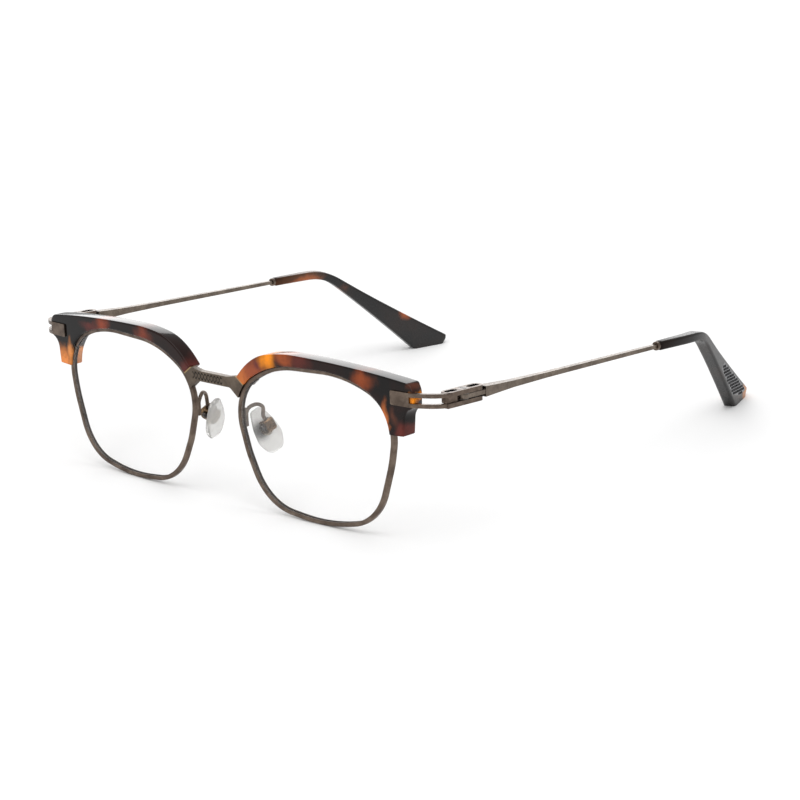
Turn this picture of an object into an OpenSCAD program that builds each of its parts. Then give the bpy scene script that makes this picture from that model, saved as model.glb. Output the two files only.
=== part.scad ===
// Browline eyeglasses: metal eyewires with acetate brows, hinged temples and screw-on nose pads.
// The glasses stand open on a table, on the two eyewires and the two temple tips.
// X runs across the front (+X is the wearer's left), the front faces -Y and Z is up.

/* [Front] */
// Gap between the two lenses at the nose
lens_gap = 17.8; // [17.4:0.1:18.2]
// Width of the metal eyewire seen from the front
rim_w = 1.2; // [1:0.1:1.6]
// Depth of the metal eyewire from front to back
rim_d = 1.5; // [1.3:0.1:2]
// Radius of the bow that the whole front follows
bow_r = 950; // [700:10:1500]
// Lean of the front, top to the back, when the glasses stand on a table
front_lean = 2.3; // [1:0.1:3]
// Thickness of a lens
lens_t = 1.1; // [0.9:0.1:1.2]

/* [Brow] */
// How far the acetate brow stands in front of the middle of the eyewire
brow_front = 1.45; // [1.3:0.05:1.6]
// How far the acetate brow reaches behind the middle of the eyewire
brow_back = 2.75; // [2.5:0.05:3]

/* [Bridge] */
// Height of the bridge bar at its middle
bridge_h = 2.7; // [2.2:0.1:3.2]
// Thickness of the bridge bar
bridge_t = 1.6; // [1.4:0.1:2]

/* [Hinge] */
// Distance of each hinge screw from the middle of the glasses
hinge_x = 72.8; // [72.5:0.1:73.2]
// Height of the middle of the hinge above the table
hinge_z = 35.2; // [35:0.1:35.4]
// Downward slope of the temples towards the back
temple_slope = 4.2; // [4:0.1:4.4]
// Radius of the hinge screw's shank
screw_r = 0.7; // [0.6:0.05:0.8]
// Radial clearance between the hinge screw and the temple
hinge_gap = 0.05; // [0.02:0.01:0.08]

/* [Temple] */
// Distance from the hinge screw to the start of the acetate tip
tip_start = 73.4; // [70:0.1:75]
// Width of the acetate tip's broad end
paddle_w = 10.4; // [9:0.2:11]
// Thickness of the acetate tip
tip_t = 3.6; // [3:0.1:4]

/* [Nose pads] */
// Length of a nose pad
pad_len = 12.2; // [11:0.1:13]
// Width of a nose pad
pad_w = 7.2; // [7:0.1:8.5]
// Radius of the pad screw
pad_screw_r = 0.5; // [0.4:0.05:0.6]

/* [Hidden] */
SIDES = ["left", "right"];
big = 120;                    // reach of cutting solids
hair = 0.01;                  // overlap that joins solids of one piece
knuckle = 1.05;               // a wire swells a little at each bend
$fn = 48;

// Lens outline as corners with radii, at the middle of the eyewire: [x, z, radius]
gap_shift = (lens_gap - 17.8) / 2;
lens_corners = [for (c = [[60, 19, 34], [62.5, 33, 12], [46, 39.5, 36.5], [22, 38.5, 30], [6.5, 29.5, 12],
    [11, 14.5, 19], [17, 2, 15.5], [37.5, 0, 54.5], [55, 3.5, 14]]) [c[0] + gap_shift, c[1], c[2]]];
arc_steps = 8;
bow_steps = 1440;

function unit(v) = v / norm(v);
function turn(a) = a > 180 ? a - 360 : a < -180 ? a + 360 : a;
function half_angle(p0, p, p1) = acos(unit(p0 - p) * unit(p1 - p)) / 2;
function flat2(c) = [c[0], c[1]];
// Points of the arc that rounds corner p between its neighbours
function fillet(p0, p, p1, r, n) =
    let (a = unit(p0 - p), b = unit(p1 - p), h = half_angle(p0, p, p1),
        cen = p + unit(a + b) * r / sin(h), s = p + a * r / tan(h) - cen, e = p + b * r / tan(h) - cen,
        a0 = atan2(s[1], s[0]), d = turn(atan2(e[1], e[0]) - a0))
    r == 0 ? [p] : [for (k = [0:n]) cen + r * [cos(a0 + d * k / n), sin(a0 + d * k / n)]];
function rounded(c, n = arc_steps) = [for (i = [0:len(c) - 1])
    each fillet(flat2(c[(i + len(c) - 1) % len(c)]), flat2(c[i]), flat2(c[(i + 1) % len(c)]), c[i][2], n)];
// The same convex outline, moved outwards by d
function grown(c, d) = [for (i = [0:len(c) - 1])
    let (p0 = flat2(c[(i + len(c) - 1) % len(c)]), p = flat2(c[i]), p1 = flat2(c[(i + 1) % len(c)]),
        q = p - unit(unit(p0 - p) + unit(p1 - p)) * d / sin(half_angle(p0, p, p1)))
    [q[0], q[1], c[i][2] + d]];
function bow(x) = bow_r - sqrt(bow_r * bow_r - x * x);

rim_out = rim_w / 2;
rim_back = rim_d / 2;
rim_bottom = 0.53;            // height of the outline's lowest point in lens_corners
groove = 0.45;                // depth of the lens groove in the eyewire
lens_mid = 34.5;
front_lift = (rim_back + bow(lens_mid)) * sin(front_lean) + (rim_out - rim_bottom) * cos(front_lean);
front_y = -1.2;               // place of the front before the whole model is centred
depth_mid = 71.67;            // half way from the front to the ends of the tips

// Placing: the whole model is centred in Y, then each side and each frame
module centred() { translate([0, -depth_mid, 0]) children(); }
module side(s) {
    if (s == "left") children();
    else mirror([1, 0, 0]) children();
}
module in_front(s) {
    centred() translate([0, front_y, front_lift]) rotate([-front_lean, 0, 0]) side(s) children();
}
module in_hinge(s) {
    centred() side(s) translate([hinge_x, 13.8, hinge_z]) rotate([-temple_slope, 0, 0]) children();
}
// Space between two bowed surfaces that lie y0 and y1 behind the eyewire's middle
module bowed(y0, y1) {
    translate([0, bow_r, -5]) difference() {
        cylinder(r = bow_r - y0, h = 60, $fn = bow_steps);
        translate([0, 0, -1]) cylinder(r = bow_r - y1, h = 62, $fn = bow_steps);
    }
}
// A front-view outline carried through the front from y0 to y1
module upright(y0 = -10, y1 = 20) {
    translate([0, y1, 0]) rotate([90, 0, 0]) linear_extrude(y1 - y0) children();
}
module lens_shape(d) { polygon(rounded(grown(lens_corners, d))); }
module on_bow(x) { translate([x, bow(x), 0]) rotate([0, 0, asin(x / bow_r)]) children(); }
// A round bar between two points
module rod(a, b, r) {
    v = b - a;
    translate(a) rotate([0, acos(v[2] / norm(v)), atan2(v[1], v[0])]) cylinder(r = r, h = norm(v));
}
module rod_path(points, r) {
    for (i = [0:len(points) - 2]) rod(points[i], points[i + 1], r);
    for (i = [1:len(points) - 2]) translate(points[i]) sphere(r = r * knuckle);
}

// Eyewire with the lens groove inside it and the saw cut between the rim-lock blocks
cut_z = 32.2;
cut_h = 0.3;
module rim(s) {
    color("#69594d") in_front(s) intersection() {
        bowed(-rim_back, rim_back);
        difference() {
            upright() lens_shape(rim_out);
            upright() lens_shape(-rim_out);
            intersection() {
                upright() lens_shape(-rim_out + groove);
                bowed(-lens_t / 2, lens_t / 2);
            }
            translate([lens_mid + 15, -10, cut_z - cut_h / 2]) cube([20, 30, cut_h]);
        }
    }
}
module lens(s) {
    color("#dfe6ea", 0.3) in_front(s) intersection() {
        bowed(-lens_t / 2, lens_t / 2);
        upright() lens_shape(-rim_out + groove);
    }
}

// Acetate brow: a thick bar over the eyewire, with a leg down its outer side
tip_a = [8.9, 34];
tip_b = [12.9, 31.05];
brow_corners = [[tip_a[0], tip_a[1], 0.3], [12.4, 37.7, 21], [17.4, 40.7, 16.5], [25.3, 42.25, 50],
    [40, 42.2, 300], [58, 41.2, 240], [68.7, 39.9, 2.6], [68.6, 34.6, 1.2], [65.7, 33.4, 3.6],
    [65.1, 27, 0.4], [57, 26.6, 0], [40, 30, 0], [16, 30, 0], [tip_b[0], tip_b[1], 0]];
lip_shift = [-0.4, 0, 0.35];  // the brow's opening lies a little up and in from the eyewire's
draft_a = [68.7, 1.6];        // the outer end narrows towards the back along the line a to b
draft_b = [67.7, 5.2];
module brow_blank() {
    intersection() {
        bowed(-brow_front, brow_back);
        difference() {
            upright() polygon(rounded(brow_corners));
            translate(lip_shift) upright() lens_shape(0);
        }
    }
}
module brow(s) {
    color("#5a2412") in_front(s) difference() {
        brow_blank();
        intersection() {
            bowed(-rim_back, rim_back);
            upright() lens_shape(rim_out);
        }
        translate([0, 0, 20]) linear_extrude(30)
            polygon([draft_a, draft_b + (draft_b - draft_a), [90, 12], [90, draft_a[1]]]);
        end_plate();
        for (z = bar_z) strap_bar(z);
        on_bow(lock_x) {
            lock_space();
            brow_hole();
        }
        clip_solid(2 * brow_back);
        clip_bore();
    }
}

// End piece: a plate let into the brow's front, two bars round its corner and the fixed hinge leaves
plate_x = [61.7, 67.5];
plate_z = [34.6, 38.1];
plate_front = brow_front + 0.4;
plate_t = 0.8;
bar_h = 1;
bar_z = [[37.1, 36.6], [34.6, 34.1]];   // bottom of each bar at the plate and at the hinge
bar_t = 1.2;
bend_from = 66.8;             // the bars leave the plate here, on an arc tangent to its face
bend_out = 8.15;
bend_face = bow_r + plate_front;
bend_turn = asin(bend_from / bend_face);
bend_at = [(bend_face - bend_out) * sin(bend_turn), bow_r - (bend_face - bend_out) * cos(bend_turn)];
leaf_h = 1.1;
tongue_h = 1.1;
washer_h = 0.2;
leaf_gap = tongue_h / 2 + washer_h + 0.02;
leaf_w = 3.2;
leaf_front = -6.8;
leaf_rear = 6.2;
module end_plate() {
    intersection() {
        bowed(-plate_front, -plate_front + plate_t);
        upright() polygon(rounded([[plate_x[0], plate_z[0], 0.4], [plate_x[1], plate_z[0], 0],
            [plate_x[1], plate_z[1], 0], [plate_x[0], plate_z[1], 0.4]]));
    }
}
module strap_bar(z) {
    intersection() {
        translate([0, 0, 30]) linear_extrude(12) {
            intersection() {
                translate(bend_at) difference() {
                    circle(r = bend_out, $fn = 96);
                    circle(r = bend_out - bar_t, $fn = 96);
                }
                translate([bend_from - 0.3, bend_at[1] - 10]) square(10);
            }
            translate([bend_at[0] + bend_out - bar_t, bend_at[1] - hair]) square([bar_t, 0.5]);
        }
        translate([60, 0, 0]) rotate([90, 0, 90]) linear_extrude(20)
            polygon([[-4, z[0]], [1.8, z[0]], [7.6, z[1]], [12, z[1]], [12, z[1] + bar_h],
                [7.6, z[1] + bar_h], [1.8, z[0] + bar_h], [-4, z[0] + bar_h]]);
    }
}
module stadium(y0, y1, w) {
    translate([0, y0 + w / 2]) circle(d = w);
    translate([0, y1 - w / 2]) circle(d = w);
    translate([-w / 2, y0 + w / 2]) square([w, y1 - y0 - w]);
}
head_r = 1.15;
head_h = 0.55;
module hinge_leaves() {
    difference() {
        union() {
            translate([0, 0, leaf_gap]) linear_extrude(leaf_h) stadium(leaf_front, leaf_rear, leaf_w);
            translate([0, 0, -leaf_gap - leaf_h]) linear_extrude(leaf_h) {
                stadium(leaf_front + 3.4, leaf_rear, leaf_w);
                translate([leaf_w / 2 - bar_t, leaf_front]) square([bar_t, 6]);
            }
            translate([0, 0, -leaf_gap - hair]) linear_extrude(2 * leaf_gap + 2 * hair)
                translate([-0.25, 0]) stadium(leaf_front + 0.3, -leaf_w / 2 - 0.5, leaf_w - 0.5);
        }
        for (y = [-4.2, 3.4]) translate([0, y, leaf_gap + leaf_h - 0.4])
            linear_extrude(1) stadium(-1.9, 1.9, 1.7);
        translate([0, 0, leaf_gap + leaf_h - head_h]) cylinder(r = head_r, h = 1);
        cylinder(r = screw_r, h = 8, center = true);
    }
}
module end_piece(s) {
    color("#6b5b4e") {
        difference() {
            union() {
                in_front(s) {
                    end_plate();
                    for (z = bar_z) strap_bar(z);
                }
                in_hinge(s) hinge_leaves();
            }
            in_front(s) on_bow(lock_x)
                translate([outer_screw_x, -plate_front + plate_t + hair, outer_screw_z])
                rotate([90, 0, 0]) cylinder(r = brow_screw_r, h = 0.3);
        }
    }
}

// Hinge screw: slotted head sunk in the upper leaf, shank through the tongue and the lower leaf
module hinge_screw(s) {
    color("#4e4540") in_hinge(s) difference() {
        union() {
            translate([0, 0, leaf_gap + leaf_h - head_h]) cylinder(r = head_r, h = head_h);
            translate([0, 0, -leaf_gap - leaf_h]) cylinder(r = screw_r, h = 2 * leaf_gap + 2 * leaf_h - head_h);
        }
        translate([-2, -0.15, leaf_gap + leaf_h - 0.25]) cube([4, 0.3, 1]);
    }
}
module hinge_washers(s) {
    color("#8d8378") in_hinge(s) for (z = [tongue_h / 2 + 0.01, -tongue_h / 2 - 0.01 - washer_h])
        translate([0, 0, z]) difference() {
            cylinder(r = 1.5, h = washer_h);
            translate([0, 0, -1]) cylinder(r = screw_r + hinge_gap, h = 3);
        }
}

// Temple: hinge tongue, a bar that thins towards the back and a core wire inside the acetate tip
core_r = 0.55;
core_len = 17;
module temple(s) {
    color("#6d5d50") in_hinge(s) difference() {
        union() {
            translate([0, 0, -tongue_h / 2]) linear_extrude(tongue_h) {
                circle(d = leaf_w - 0.1);
                translate([-leaf_w / 2 + 0.3, 0]) square([leaf_w - 0.5, leaf_rear + 2]);
            }
            intersection() {
                translate([0, 0, -5]) linear_extrude(10) polygon([[-1.15, leaf_rear + 0.35],
                    [1.5, leaf_rear + 0.35], [1.4, 10], [1, 17], [0.8, 30], [0.65, tip_start],
                    [-0.65, tip_start], [-0.8, 30], [-0.9, 17], [-1.15, 10]]);
                rotate([90, 0, 90]) linear_extrude(10, center = true) polygon([[leaf_rear, -1.3],
                    [leaf_rear, 1.35], [10, 1.15], [17, 0.85], [30, 0.65], [tip_start, 0.5],
                    [tip_start, -0.5], [30, -0.65], [17, -0.85], [10, -1.1]]);
            }
            translate([0, tip_start - hair, 0]) rotate([-90, 0, 0]) cylinder(r = core_r, h = core_len);
        }
        cylinder(r = screw_r + hinge_gap, h = 8, center = true);
    }
}
collar_len = 0.9;
module tip_collar(s) {
    color("#7b6a5a") in_hinge(s) translate([0, tip_start, 0]) rotate([-90, 0, 0]) difference() {
        cylinder(r = 1.15, h = collar_len);
        translate([0, 0, -1]) cylinder(r = core_r, h = 3);
    }
}

// Acetate tip: sections swept along a path that bends down behind the ear and in towards the head
// Each station: [place along x, y, z; half thickness; half height; turn of the section down]
tip_y0 = tip_start + collar_len;
tip_x = 72.8;
bend_len = 13;                // length of the curve from the straight part to the broad part
inward_lead = 4;              // the tip starts to turn in this much before it turns down
drop = 35.5;                  // how far the broad part points down
inward = 20;                  // how far it points in
straight_len = 13;
paddle_len = 41;
tip_steps = 22;
// Share of the bend that is done at distance d from the start of the tip
function bent(d) = let (t = max(0, min(1, (d - straight_len) / bend_len))) t * t * (3 - 2 * t);
function tip_dir(d) = let (e = -drop * bent(d), a = inward * bent(d + inward_lead))
    [-sin(a) * cos(e), cos(a) * cos(e), sin(e)];
tip_len = straight_len + bend_len + paddle_len;
function tip_at(i, n) = i == 0 ? [0, tip_y0, 0] : tip_at(i - 1, n) + tip_dir((i - 0.5) * tip_len / n) * tip_len / n;
swell_from = 20;
sleeve_r = 1.2;
function swell(d) = let (t = max(0, (d - swell_from) / (tip_len - swell_from)))
    sleeve_r + (paddle_w / 2 - sleeve_r) * pow(t, 1.4);
function tip_half_t(d) = sleeve_r + (tip_t / 2 - sleeve_r) * min(1, d / swell_from);
function squared(v, power) = sign(v) * pow(abs(v), power);
side_points = 16;
function section(i, n) = let (d = i * tip_len / n, c = tip_at(i, n), f = tip_dir(d),
        side_dir = unit(cross(f, [0, 0, 1])), up = cross(side_dir, f), w = tip_half_t(d), h = swell(d))
    [for (k = [0:side_points - 1]) let (a = 360 * k / side_points)
        c + side_dir * w * squared(cos(a), 0.6) + up * h * squared(sin(a), 0.8)];
module tip_solid() {
    rings = [for (i = [0:tip_steps]) each section(i, tip_steps)];
    m = side_points;
    polyhedron(points = rings, faces = concat(
        [[for (k = [0:m - 1]) k]],
        [[for (k = [m - 1:-1:0]) tip_steps * m + k]],
        [for (i = [0:tip_steps - 1], k = [0:m - 1]) let (a = i * m + k, b = i * m + (k + 1) % m)
            each [[a, a + m, b + m], [a, b + m, b]]]));
}
module paddle_frame() { translate(tip_at(tip_steps, tip_steps)) rotate([-drop, 0, inward]) children(); }
// Grip panel let into the outer face of the broad end, between the rear edge and the ridge
grip_depth = 0.5;
module grip_panel(d) {
    paddle_frame() translate([tip_t / 2 - grip_depth, 0, 0]) rotate([90, 0, 90]) linear_extrude(d)
        polygon(rounded([[-26.6, 1.2, 0.3], [-27.4, -1.3, 0.3], [-13.2, -2.7, 0.5], [-6.2, 0, 0.4],
            [-2.2, 3.5, 0.3], [-9, 3.2, 0.5]], 4));
}
module temple_tip(s) {
    color("#1d1512") difference() {
        in_hinge(s) difference() {
            tip_solid();
            translate([0, tip_start, 0]) rotate([-90, 0, 0]) cylinder(r = core_r, h = core_len);
            grip_panel(2);
        }
        centred() translate([-big, 0, -big]) cube([2 * big, 2 * big, big]);
    }
}
module tip_grip(s) { color("#3a3a3c") in_hinge(s) grip_panel(grip_depth); }

// Bridge: a flat bar that widens at each end into a slanted seat for the brow, soldered to the eyewire
bridge_z = 32.1;
bridge_front = 1.1;
module bridge_outline() {
    top = bridge_z + bridge_h / 2;
    low = bridge_z - bridge_h / 2;
    half = rounded([[0.5, top, 0], [5, top, 6], [8.3, top + 0.6, 0.3], [tip_a[0], tip_a[1], 0],
        [tip_b[0], tip_b[1], 0], [9.8, 27.9, 0], [6.2, low, 1.5], [0.5, low, 0]]);
    upright() polygon(concat(half, [for (i = [len(half) - 1:-1:0]) [-half[i][0], half[i][1]]]));
}
module bridge() {
    color("#6b5a49") centred() translate([0, front_y, front_lift]) rotate([-front_lean, 0, 0]) difference() {
        intersection() {
            bridge_outline();
            bowed(-bridge_front, bridge_t - bridge_front);
        }
        for (m = [0, 1]) mirror([m, 0, 0]) upright() lens_shape(rim_out);
    }
}

// Clip behind the nose end of each brow, soldered to the eyewire, with a screw into the brow
clip_x = 14;
clip_z = 36.4;
clip_t = 0.7;
brow_screw_r = 0.5;
brow_head_r = 0.95;
brow_head_h = 0.45;
module clip_solid(d) {
    intersection() {
        bowed(rim_back, rim_back + d);
        upright() polygon(rounded([[clip_x - 2.6, clip_z - 4.7, 0.3], [clip_x + 0.2, clip_z - 4, 0.3],
            [clip_x + 1.6, clip_z + 0.8, 1.1], [clip_x - 1.4, clip_z + 1.3, 1.1]]));
    }
}
module clip_bore() {
    translate([clip_x - 0.2, bow(clip_x) - 1, clip_z - 0.6]) rotate([-90, 0, 0]) cylinder(r = brow_screw_r, h = 5);
}
module nose_clip(s) {
    color("#69594d") in_front(s) difference() {
        clip_solid(clip_t);
        clip_bore();
    }
}

// Rim lock: two blocks that close the eyewire behind the brow's outer end, held by a small screw
lock_x = 62;
outer_screw_x = 2.2;
outer_screw_z = 36.3;
lock_y = [-0.4, 2];
ear_t = 0.7;
block_h = 1.6;
lock_screw_r = 0.45;
lock_bore_x = 0.4;
module lock_block(z0, z1) {
    translate([-3.5, lock_y[0], z0]) cube([5, lock_y[1] - lock_y[0], z1 - z0]);
}
module ear() {
    translate([-0.6, lock_y[1] - ear_t, cut_z + 0.5]) cube([4.6, ear_t, 5.2]);
}
module lock_space() {
    lock_block(cut_z - cut_h / 2 - block_h - 0.1, cut_z + cut_h / 2 + block_h + 0.6);
    translate([-3.5, lock_y[1] - hair, cut_z - cut_h / 2 - block_h - 0.1]) cube([5, 3, 4.2]);
    translate([-0.6, lock_y[1] - ear_t, cut_z + 0.5]) cube([4.6, 3, 5.2]);
}
module lock_bore() { translate([lock_bore_x, 0.9, cut_z - 3]) cylinder(r = lock_screw_r, h = 6); }
module brow_hole() {
    translate([outer_screw_x, -3, outer_screw_z]) rotate([-90, 0, 0]) cylinder(r = brow_screw_r, h = 6);
}
module without_rim() {
    difference() {
        children();
        upright() lens_shape(rim_out);
    }
}
module rim_lock_upper(s) {
    color("#69594d") in_front(s) without_rim() on_bow(lock_x) difference() {
        union() {
            lock_block(cut_z + cut_h / 2, cut_z + cut_h / 2 + block_h);
            ear();
        }
        lock_bore();
        brow_hole();
    }
}
module rim_lock_lower(s) {
    color("#69594d") in_front(s) without_rim() on_bow(lock_x) difference() {
        lock_block(cut_z - cut_h / 2 - block_h, cut_z - cut_h / 2);
        lock_bore();
    }
}
module rim_lock_screw(s) {
    color("#4e4540") in_front(s) on_bow(lock_x) translate([lock_bore_x, 0.9, cut_z - cut_h / 2 - block_h])
        cylinder(r = lock_screw_r, h = cut_h + 2 * block_h);
}
// The two screws that hold a brow: one through the ear into the end piece, one through the nose clip
module small_screw(len) {
    rotate([90, 0, 0]) difference() {
        union() {
            translate([0, 0, -brow_head_h]) cylinder(r = brow_head_r, h = brow_head_h);
            cylinder(r = brow_screw_r, h = len);
        }
        translate([-2, -0.12, -brow_head_h - 1]) cube([4, 0.24, 1.2]);
    }
}
module brow_screws(s) {
    color("#4e4540") in_front(s) {
        on_bow(lock_x) translate([outer_screw_x, lock_y[1], outer_screw_z]) small_screw(3.3);
        translate([clip_x - 0.2, bow(clip_x) + rim_back + clip_t, clip_z - 0.6]) small_screw(clip_t + rim_back + 1);
    }
}

// Nose pad: an arm from the eyewire, a slotted box, a screw, a metal insert and the pad itself
pad_at = [11.4, 6.5, 20.1];
pad_turn = [20, -17, -13];
box_x = [-1, 1.5];            // from the pad's side outwards
box_y = 2.8;
box_z = 3.4;
slot_w = 1.3;
slot_top = 1.15;
stud_w = 1.1;
stud_r = 0.9;
face_x = -1.4;                // where the insert's flange meets the pad
pad_t = 1.5;
module in_pad(s) { in_front(s) translate(pad_at) rotate(pad_turn) children(); }
module pad_arm(s) {
    wire = 0.5;
    root_y = rim_back + bow(9.7);
    color("#5f5147") difference() {
        union() {
            in_front(s) {
                translate([8.5, root_y, 20.6]) cube([1.2, 0.9, 4.9]);
                rod_path([[9.1, root_y + 0.45, 23.5], [9.3, 2.2, 25.4], [10.3, 4, 26], [10.9, 5.5, 25],
                    [10.5, 5.8, 22.7]], wire);
            }
            in_pad(s) translate([0.3, 0, box_z / 2 - hair]) cylinder(r = wire, h = 1.1);
        }
        in_pad(s) translate([box_x[0] - 1, -box_y / 2, -box_z / 2]) cube([4, box_y, box_z]);
    }
}
module pad_box(s) {
    color("#7a5c3c") in_pad(s) difference() {
        rotate([90, 0, 0]) linear_extrude(box_y, center = true)
            polygon(rounded([[box_x[0], -box_z / 2, 0], [box_x[1], -box_z / 2, 0.9],
                [box_x[1], box_z / 2, 0.9], [box_x[0], box_z / 2, 0]]));
        translate([box_x[0] - 1, -slot_w / 2, -box_z])
            cube([1 - box_x[0] + stud_r + 0.1, slot_w, box_z + slot_top]);
        rotate([90, 0, 0]) cylinder(r = pad_screw_r, h = 8, center = true);
    }
}
module pad_screw(s) {
    color("#3d352f") in_pad(s) rotate([90, 0, 0]) difference() {
        union() {
            translate([0, 0, -box_y / 2]) cylinder(r = pad_screw_r, h = box_y);
            translate([0, 0, box_y / 2]) cylinder(r = 0.85, h = 0.5);
        }
        translate([-2, -0.12, box_y / 2 + 0.25]) cube([4, 0.24, 1]);
    }
}
module pad_insert(s) {
    color("#8a7a68") in_pad(s) difference() {
        union() {
            rotate([90, 0, 0]) translate([0, 0, -stud_w / 2]) {
                cylinder(r = stud_r, h = stud_w);
                translate([face_x, -stud_r, 0]) cube([-face_x, 2 * stud_r, stud_w]);
            }
            translate([face_x - 0.5, 0, -0.6]) rotate([0, 90, 0]) cylinder(r = 2, h = 0.5);
        }
        rotate([90, 0, 0]) cylinder(r = pad_screw_r + 0.05, h = 8, center = true);
    }
}
module pad_outline() {
    h = pad_len / 2;
    w = pad_w / 2;
    top_r = w * 0.65;
    low_r = w * 0.9;
    polygon(rounded([[-w * 0.8, h, top_r], [-w * 1.08, -h, low_r], [w * 1.08, -h, low_r], [w * 0.8, h, top_r]]));
}
module nose_pad(s) {
    color("#e6e4dc", 0.6) in_pad(s) translate([face_x - pad_t, 0, -1.1]) difference() {
        rotate([90, 0, 90]) linear_extrude(pad_t) pad_outline();
        translate([pad_t - 0.5, 0, 0.5]) rotate([0, 90, 0]) cylinder(r = 2, h = 1);
    }
}

bridge();
for (s = SIDES) {
    rim(s);
    lens(s);
    brow(s);
    end_piece(s);
    nose_clip(s);
    rim_lock_upper(s);
    rim_lock_lower(s);
    rim_lock_screw(s);
    brow_screws(s);
    hinge_screw(s);
    hinge_washers(s);
    temple(s);
    tip_collar(s);
    temple_tip(s);
    tip_grip(s);
    pad_arm(s);
    pad_box(s);
    pad_screw(s);
    pad_insert(s);
    nose_pad(s);
}
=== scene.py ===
"""Browline eyeglasses: visual pieces, materials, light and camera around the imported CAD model."""
import math

import bmesh
import bpy
from mathutils import Matrix, Vector


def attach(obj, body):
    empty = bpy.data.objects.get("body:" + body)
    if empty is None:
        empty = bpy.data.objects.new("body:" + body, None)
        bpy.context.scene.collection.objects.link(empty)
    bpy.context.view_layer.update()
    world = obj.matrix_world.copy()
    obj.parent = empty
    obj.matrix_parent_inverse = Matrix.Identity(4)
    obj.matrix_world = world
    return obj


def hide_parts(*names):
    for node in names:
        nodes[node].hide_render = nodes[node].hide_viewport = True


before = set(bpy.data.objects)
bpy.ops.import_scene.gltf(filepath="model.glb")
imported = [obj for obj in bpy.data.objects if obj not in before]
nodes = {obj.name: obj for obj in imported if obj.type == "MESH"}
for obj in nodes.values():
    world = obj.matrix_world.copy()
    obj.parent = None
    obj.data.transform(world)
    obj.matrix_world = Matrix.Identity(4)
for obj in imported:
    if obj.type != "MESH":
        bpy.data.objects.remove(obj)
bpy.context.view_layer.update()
SIDES = {"left": 1, "right": -1}

# Sizes in millimetres, as in the CAD model
MM = 0.001
DEPTH_MID = 71.67  # the whole object's middle, from front to back
FRONT_Y = -1.2
FRONT_LEAN = 2.3  # degrees
BOW_R = 950  # radius of the front's slight bow, seen from above
# The eyewire runs along the lens outline, from RIM_OUT inside it to RIM_OUT outside
RIM_OUT = 0.6
RIM_BACK = 0.75
RIM_BOTTOM = 0.53
GROOVE = 0.45
LENS_T = 1.1
LENS_MID = 34.5
LENS_CORNERS = [(60, 19, 34), (62.5, 33, 12), (46, 39.5, 36.5), (22, 38.5, 30), (6.5, 29.5, 12),
                (11, 14.5, 19), (17, 2, 15.5), (37.5, 0, 54.5), (55, 3.5, 14)]
RIM_CUT_Z, RIM_CUT_HALF = 32.2, 0.15
OUTER_X = 50  # a point of a lens outline past this x is on its outer side
NOSE_A, NOSE_B = (8.9, 34), (12.9, 31.05)  # the brow's slanted nose end, against the bridge's seat
BROW_CORNERS = [(*NOSE_A, 0), (12.4, 37.7, 21), (17.4, 40.7, 16.5), (25.3, 42.25, 50), (40, 42.2, 300),
                (58, 41.2, 240), (68.7, 39.9, 2.6), (68.6, 34.6, 1.2), (65.7, 33.4, 3.6), (65.1, 27, 0),
                (57, 26.6, 0)]
LIP_SHIFT = (-0.4, 0.35)  # from the lens outline to the brow's lower edge
BROW_FRONT, BROW_BACK = 1.45, 2.75
# Behind DRAFT_FROM the brow's outer side slants in, by DRAFT at its back
DRAFT = 1.0
DRAFT_FROM = -0.85
HINGE = (72.8, 13.8, 35.2)
TEMPLE_SLOPE = 4.2  # degrees
# The temple tip: a straight part, then a bend down and, TIP_LEAD earlier, inwards (in degrees)
TIP_START, TIP_LEN = 74.3, 67
TIP_STRAIGHT, TIP_BEND, TIP_LEAD = 13, 13, 4
TIP_DROP, TIP_INWARD = 35.5, 20
TIP_FLARE = 20  # from here on the tip grows taller
GRIP_X = (1.3, 1.82)  # back and front of the grip, out from the tip's middle
GRIP_CORNERS = [(-26.6, 1.2, 0.3), (-27.4, -1.3, 0.3), (-13.2, -2.7, 0.5), (-6.2, 0, 0.4),
                (-2.2, 3.5, 0.3), (-9, 3.2, 0.5)]
PIT_DEPTH = 0.3
PAD_AT = (11.4, 6.5, 20.1)
PAD_TURN = (20, -17, -13)  # degrees


# ---------------------------------------------------------------- places
def turned(x, y, z):
    """OpenSCAD's rotate([x, y, z])."""
    return (Matrix.Rotation(math.radians(z), 4, "Z") @ Matrix.Rotation(math.radians(y), 4, "Y")
            @ Matrix.Rotation(math.radians(x), 4, "X"))


def moved(x, y, z):
    return Matrix.Translation((x, y, z))


def bowed_y(x, off):
    """How far back the bowed surface lies at x, off behind the middle of the eyewire."""
    return BOW_R - math.sqrt((BOW_R - off) ** 2 - x * x)


LEAN = math.radians(FRONT_LEAN)
FRONT_LIFT = ((RIM_BACK + bowed_y(LENS_MID, 0)) * math.sin(LEAN)
              + (RIM_OUT - RIM_BOTTOM) * math.cos(LEAN))
ROW = Matrix.Scale(MM, 4) @ moved(0, -DEPTH_MID, 0)


def mirror_x(side):
    return Matrix.Diagonal((SIDES[side], 1, 1, 1))


def in_front(side):
    return ROW @ moved(0, FRONT_Y, FRONT_LIFT) @ turned(-FRONT_LEAN, 0, 0) @ mirror_x(side)


def in_hinge(side):
    return ROW @ mirror_x(side) @ moved(*HINGE) @ turned(-TEMPLE_SLOPE, 0, 0)


def in_pad(side):
    return in_front(side) @ moved(*PAD_AT) @ turned(*PAD_TURN)


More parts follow.
